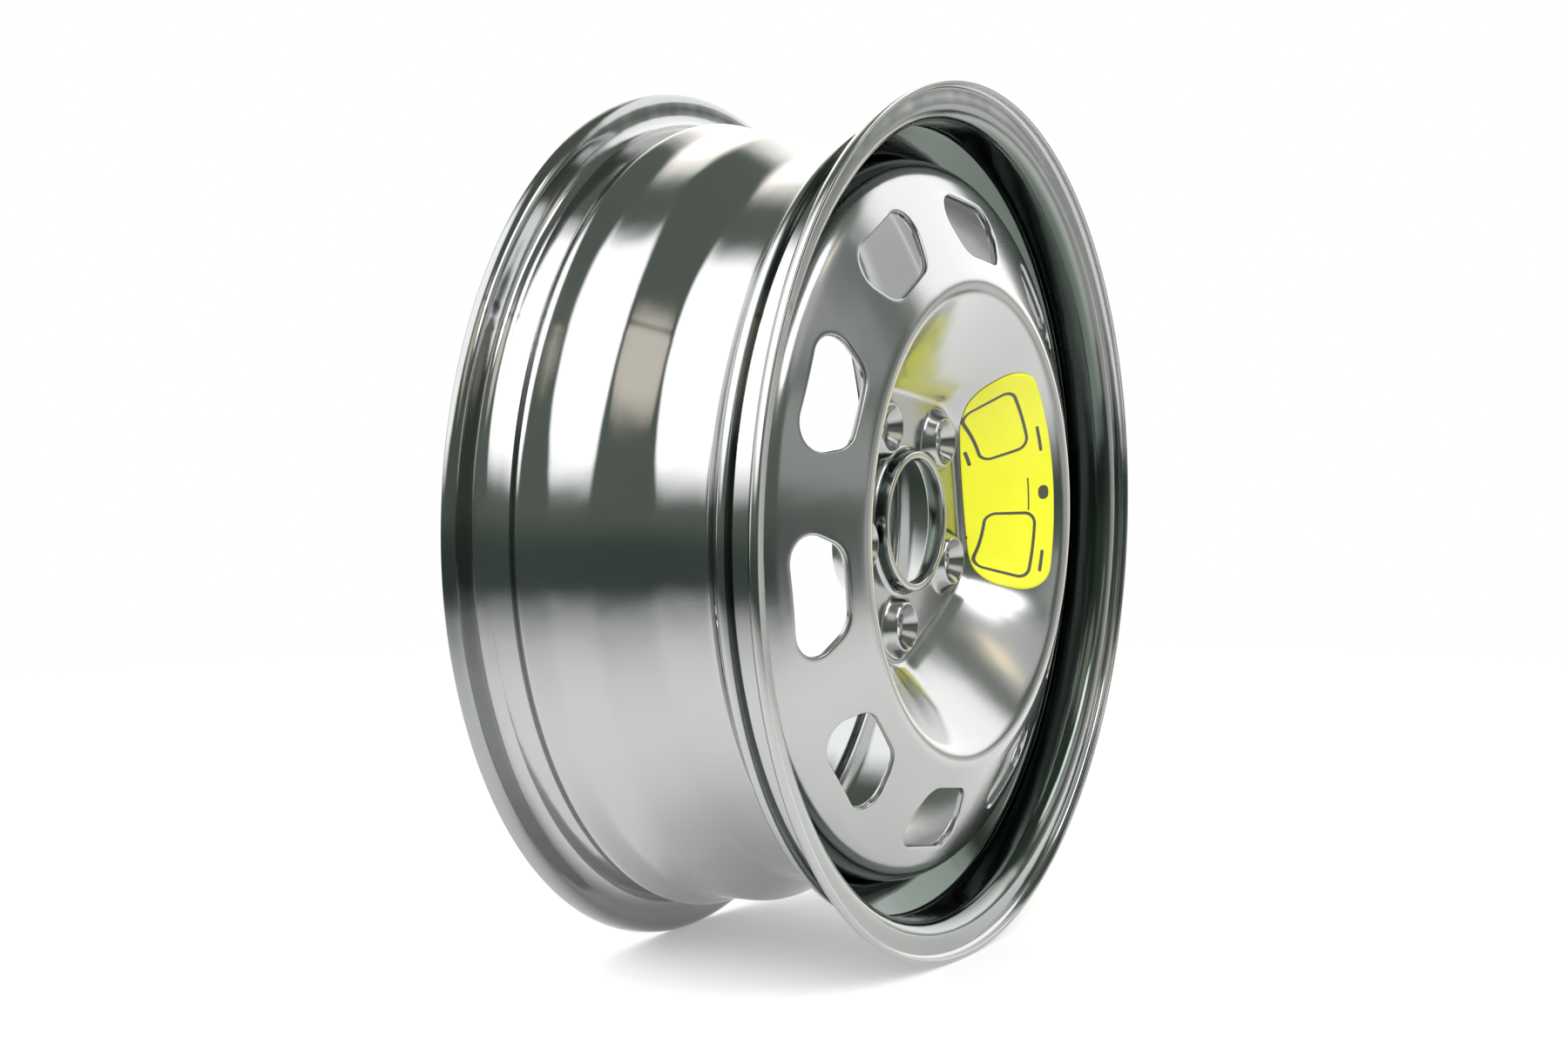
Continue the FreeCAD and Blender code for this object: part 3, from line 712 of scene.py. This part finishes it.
foot_s = disc_sheet.s[disc_sheet.row_at(hub_mean, PLATE_FACE)]
crest_s = disc_sheet.s[disc_sheet.row_at(CREST_CORNER, crest_axial)]
side = np.linspace(-1, 1, LABEL_CELLS + 1)
a, b = np.meshgrid(side, side, indexing="ij")
size = np.maximum(np.abs(a), np.abs(b))
heading = np.arctan2(LABEL_STRETCH * b, a) + math.radians(PATTERN_ANGLE)
reach = size * outline_reach(label_outline(), heading, np.full_like(a, LABEL_FAR))
flat_x = LABEL_MIDDLE[0] * math.cos(math.radians(LABEL_MIDDLE[1])) + reach * np.cos(heading)
flat_z = LABEL_MIDDLE[0] * math.sin(math.radians(LABEL_MIDDLE[1])) + reach * np.sin(heading)
film = np.stack([on_wall(flat_x, flat_z, depth) for depth in (-LABEL_GLUE - LABEL_THICKNESS, -LABEL_GLUE)])
ids = np.arange(film[..., 0].size).reshape(film.shape[:3])
top, under = [np.stack([g[:-1, :-1], g[1:, :-1], g[1:, 1:], g[:-1, 1:]], -1).reshape(-1, 4) for g in ids]
rim_top, rim_under = [np.concatenate([g[:-1, 0], g[-1, :-1], g[:0:-1, -1], g[0, :0:-1]]) for g in ids]
edge_quads = np.stack([np.roll(rim_top, -1), rim_top, rim_under, np.roll(rim_under, -1)], -1)
label = put_mesh("label_film", film.reshape(-1, 3) * MM, np.concatenate([top, under[:, ::-1], edge_quads]))
corner_of = np.empty(len(label.data.loops), int)
label.data.loops.foreach_get("vertex_index", corner_of)
film_x, film_z = film[..., 0], film[..., 2]
spread = np.stack([LABEL_MIDDLE[0] * np.arctan2(film_z, film_x), np.hypot(film_x, film_z)], -1).reshape(-1, 2)
label.data.uv_layers.new(name="print").data.foreach_set("uv", spread[corner_of].ravel())

# Each printed shape is a rounded box in the flat coordinates (way round, radius) of the label: a bar is ink
# within its corner radius of the inner box, and a frame is ink within half a line of its line's middle.
vinyl = bpy.data.materials.new("yellow_vinyl")
vinyl.use_nodes = True
nodes, links = vinyl.node_tree.nodes, vinyl.node_tree.links
shader = nodes["Principled BSDF"]
uv = nodes.new("ShaderNodeUVMap")
uv.uv_map = "print"
ink = None
for kind, middle, half, corner in PRINT_SHAPES:
    steps = []
    for operation, value in (("SUBTRACT", middle), ("ABSOLUTE", None),
                             ("SUBTRACT", [h - corner for h in half]), ("MAXIMUM", (0, 0))):
        step = nodes.new("ShaderNodeVectorMath")
        step.operation = operation
        if value is not None:
            step.inputs[1].default_value = (*value, 0)
        links.new(steps[-1].outputs[0] if steps else uv.outputs["UV"], step.inputs[0])
        steps.append(step)
    span = nodes.new("ShaderNodeVectorMath")
    span.operation = "LENGTH"
    links.new(steps[-1].outputs[0], span.inputs[0])
    middle_line = corner - FRAME_LINE / 2 if kind == "frame" else 0.0
    off = nodes.new("ShaderNodeMath")
    off.operation = "SUBTRACT"
    off.inputs[1].default_value = middle_line
    links.new(span.outputs["Value"], off.inputs[0])
    gap = nodes.new("ShaderNodeMath")
    gap.operation = "ABSOLUTE"
    links.new(off.outputs[0], gap.inputs[0])
    half_line = FRAME_LINE / 2 if kind == "frame" else corner
    cover = nodes.new("ShaderNodeMapRange")
    cover.inputs["From Min"].default_value = half_line + PRINT_EDGE
    cover.inputs["From Max"].default_value = half_line - PRINT_EDGE
    links.new(gap.outputs[0], cover.inputs["Value"])
    if ink is not None:
        both = nodes.new("ShaderNodeMath")
        both.operation = "MAXIMUM"
        links.new(ink, both.inputs[0])
        links.new(cover.outputs["Result"], both.inputs[1])
        ink = both.outputs[0]
    else:
        ink = cover.outputs["Result"]
coords = nodes.new("ShaderNodeTexCoord")
cloud = nodes.new("ShaderNodeTexNoise")
cloud.inputs["Scale"].default_value = LABEL_CLOUD_SCALE
links.new(coords.outputs["Object"], cloud.inputs["Vector"])
yellow = nodes.new("ShaderNodeValToRGB")
yellow.color_ramp.elements[0].color = (*[LABEL_DIP * c for c in LABEL_YELLOW], 1)
yellow.color_ramp.elements[1].color = (*LABEL_YELLOW, 1)
links.new(cloud.outputs["Fac"], yellow.inputs["Fac"])
printed = nodes.new("ShaderNodeMixRGB")
printed.inputs["Color2"].default_value = (*LABEL_PRINT, 1)
links.new(ink, printed.inputs["Fac"])
links.new(yellow.outputs["Color"], printed.inputs["Color1"])
links.new(printed.outputs["Color"], shader.inputs["Base Color"])
shader.inputs["Roughness"].default_value = LABEL_ROUGHNESS
label.data.materials.append(vinyl)
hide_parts("dish_label")
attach(label, "root")

# Studio. A pale paper floor that fades into a white ground, a soft key lamp and a small front lamp, and a
# surround painted with what the coat mirrors: a dark room with a pale backdrop, panels and soft boxes, each a
# cone about a direction with a soft edge.
FLOOR = -0.2205
FLOOR_SIZE = 3.4
FLOOR_MIDDLE = (0.35, 0.1)
FLOOR_FADE = (0.58, 1.2)
FLOOR_GLOW = 0.28
FLOOR_TONES = (0.73, 0.77)
FLOOR_GRAIN_SCALE = 3.0
FLOOR_ROUGHNESS = 0.9
KEY_STRENGTH = 1.9
KEY_FROM = (-0.5, -0.65, 0.6)
KEY_SPREAD = 60.0
WINDOW_LIGHT_PLACE = (0.088, -0.82, 0.147)
WINDOW_LIGHT_AIM = (-0.16, -0.07, 0.03)
WINDOW_LIGHT_SIZE = 0.2
WINDOW_LIGHT_LEVEL = 0.4
CAMERA_PLACE = (-1.27278, -0.66077, 0.0859)
CAMERA_AIM = (0.87957533, 0.47177697, -0.0614306)
FOCAL_PIXELS = 3199
IMAGE_WIDTH = 1800
SENSOR_WIDTH = 36.0
PANELS = [
    ("room", (0, 0, 1), 180, 180, (0.17, 0.2, 0.17)),
    ("dark_below", (0, 0, -1), 94, 82, (0.08, 0.105, 0.09)),
    ("front_floor", (0.62, -0.74, -0.25), 28, 10, (0.65, 0.65, 0.62)),
    ("front_ceiling", (0.3, -0.8, 0.5), 18, 6, (0.8, 0.81, 0.82)),
    ("right_sweep", (0.88, -0.44, -0.12), 12, 5, (1.0, 0.99, 0.96)),
    ("backdrop", (0.9, 0.4, 0.2), 48, 22, (2.2, 2.12, 1.98)),
    ("back_panel", (-0.05, 0.93, 0.36), 30, 20, (1.35, 1.35, 1.33)),
    ("right_panel", (0.85, -0.25, 0.46), 27, 19, (2.0, 2.0, 1.98)),
    ("left_soft_box", (-0.543, 0.472, 0.695), 41, 27, (2.5, 2.5, 2.5)),
    ("camera_soft_box", (-0.15, -0.81, 0.57), 10.5, 5, (4.5, 4.5, 4.5)),
    ("middle_soft_box", (0.01, -0.735, 0.68), 9, 4, (4.2, 4.2, 4.2)),
    ("front_soft_box", (0.17, -0.64, 0.75), 9.5, 4, (4.0, 4.0, 4.0)),
    ("high_soft_box", (-0.55, -0.54, 0.64), 20, 6, (1.15, 1.07, 0.93)),
    ("warm_lamp", (0.385, -0.715, 0.585), 4.5, 1, (2.4, 2.1, 1.5)),
]

world = bpy.data.worlds.new("studio")
bpy.context.scene.world = world
world.use_nodes = True
nodes, links = world.node_tree.nodes, world.node_tree.links
coords = nodes.new("ShaderNodeTexCoord")
light = None
for name, direction, outer, inner, colour in PANELS:
    dot = nodes.new("ShaderNodeVectorMath")
    dot.operation = "DOT_PRODUCT"
    dot.inputs[1].default_value = Vector(direction).normalized()
    links.new(coords.outputs["Generated"], dot.inputs[0])
    edge = nodes.new("ShaderNodeMapRange")
    edge.interpolation_type = "SMOOTHSTEP"
    edge.inputs["From Min"].default_value = math.cos(math.radians(outer))
    edge.inputs["From Max"].default_value = math.cos(math.radians(inner))
    links.new(dot.outputs["Value"], edge.inputs["Value"])
    lay = nodes.new("ShaderNodeMixRGB")
    lay.name = name
    lay.inputs["Color1"].default_value = (*colour, 1)
    lay.inputs["Color2"].default_value = (*colour, 1)
    links.new(edge.outputs["Result"], lay.inputs["Fac"])
    if light:
        links.new(light, lay.inputs["Color1"])
    light = lay.outputs["Color"]
background = nodes["Background"]
links.new(light, background.inputs["Color"])
white = nodes.new("ShaderNodeBackground")
white.inputs["Color"].default_value = (1, 1, 1, 1)
path = nodes.new("ShaderNodeLightPath")
mix = nodes.new("ShaderNodeMixShader")
links.new(path.outputs["Is Camera Ray"], mix.inputs["Fac"])
links.new(background.outputs["Background"], mix.inputs[1])
links.new(white.outputs["Background"], mix.inputs[2])
links.new(mix.outputs["Shader"], nodes["World Output"].inputs["Surface"])

half = FLOOR_SIZE / 2
floor_mesh = bpy.data.meshes.new("floor")
floor_corners = [(x * half, y * half, FLOOR) for x, y in ((-1, -1), (1, -1), (1, 1), (-1, 1))]
floor_mesh.from_pydata(floor_corners, [], [(0, 1, 2, 3)])
floor = bpy.data.objects.new("floor", floor_mesh)
bpy.context.scene.collection.objects.link(floor)
paper = bpy.data.materials.new("floor_paper")
paper.use_nodes = True
nodes, links = paper.node_tree.nodes, paper.node_tree.links
shader = nodes["Principled BSDF"]
shader.inputs["Roughness"].default_value = FLOOR_ROUGHNESS
shader.inputs["Specular IOR Level"].default_value = 0.0
grain = nodes.new("ShaderNodeTexNoise")
grain.inputs["Scale"].default_value = FLOOR_GRAIN_SCALE
tone = nodes.new("ShaderNodeValToRGB")
tone.color_ramp.elements[0].color = (*[FLOOR_TONES[0]] * 3, 1)
tone.color_ramp.elements[1].color = (*[FLOOR_TONES[1]] * 3, 1)
shader.inputs["Emission Color"].default_value = (1, 1, 1, 1)
path = nodes.new("ShaderNodeLightPath")
mirrored = nodes.new("ShaderNodeMath")
mirrored.operation = "MAXIMUM"
links.new(path.outputs["Is Glossy Ray"], mirrored.inputs[0])
links.new(path.outputs["Is Transmission Ray"], mirrored.inputs[1])
shown = nodes.new("ShaderNodeMath")
shown.operation = "MAXIMUM"
links.new(path.outputs["Is Camera Ray"], shown.inputs[0])
links.new(mirrored.outputs[0], shown.inputs[1])
glow = nodes.new("ShaderNodeMath")
glow.operation = "MULTIPLY"
glow.inputs[1].default_value = FLOOR_GLOW
links.new(shown.outputs[0], glow.inputs[0])
links.new(glow.outputs[0], shader.inputs["Emission Strength"])
coords = nodes.new("ShaderNodeTexCoord")
links.new(coords.outputs["Object"], grain.inputs["Vector"])
links.new(grain.outputs["Fac"], tone.inputs["Fac"])
links.new(tone.outputs["Color"], shader.inputs["Base Color"])
spot = nodes.new("ShaderNodeVectorMath")
spot.operation = "SUBTRACT"
spot.inputs[1].default_value = (*FLOOR_MIDDLE, FLOOR)
links.new(coords.outputs["Object"], spot.inputs[0])
away = nodes.new("ShaderNodeVectorMath")
away.operation = "LENGTH"
links.new(spot.outputs[0], away.inputs[0])
fade = nodes.new("ShaderNodeMapRange")
fade.interpolation_type = "SMOOTHSTEP"
fade.inputs["From Min"].default_value = FLOOR_FADE[1]
fade.inputs["From Max"].default_value = FLOOR_FADE[0]
links.new(away.outputs["Value"], fade.inputs["Value"])
links.new(fade.outputs["Result"], shader.inputs["Alpha"])
floor_mesh.materials.append(paper)

key = bpy.data.lights.new("key", "SUN")
key.energy = KEY_STRENGTH
key.angle = math.radians(KEY_SPREAD)
key_lamp = bpy.data.objects.new("key", key)
key_lamp.rotation_euler = Vector(KEY_FROM).to_track_quat("Z", "Y").to_euler()
key_lamp.visible_glossy = False
bpy.context.scene.collection.objects.link(key_lamp)

window = bpy.data.lights.new("front_window", "AREA")
window.size = WINDOW_LIGHT_SIZE
window.energy = WINDOW_LIGHT_LEVEL * math.pi * WINDOW_LIGHT_SIZE ** 2
window_lamp = bpy.data.objects.new("front_window", window)
window_lamp.location = WINDOW_LIGHT_PLACE
window_back = Vector(WINDOW_LIGHT_PLACE) - Vector(WINDOW_LIGHT_AIM)
window_lamp.rotation_euler = window_back.to_track_quat("Z", "Y").to_euler()
bpy.context.scene.collection.objects.link(window_lamp)

lens = bpy.data.cameras.new("camera")
lens.sensor_width = SENSOR_WIDTH
lens.lens = FOCAL_PIXELS / IMAGE_WIDTH * lens.sensor_width
camera = bpy.data.objects.new("camera", lens)
bpy.context.scene.collection.objects.link(camera)
camera.location = CAMERA_PLACE
camera.rotation_euler = Vector(CAMERA_AIM).to_track_quat("-Z", "Y").to_euler()
bpy.context.scene.camera = camera
bpy.context.scene.view_settings.view_transform = "Standard"
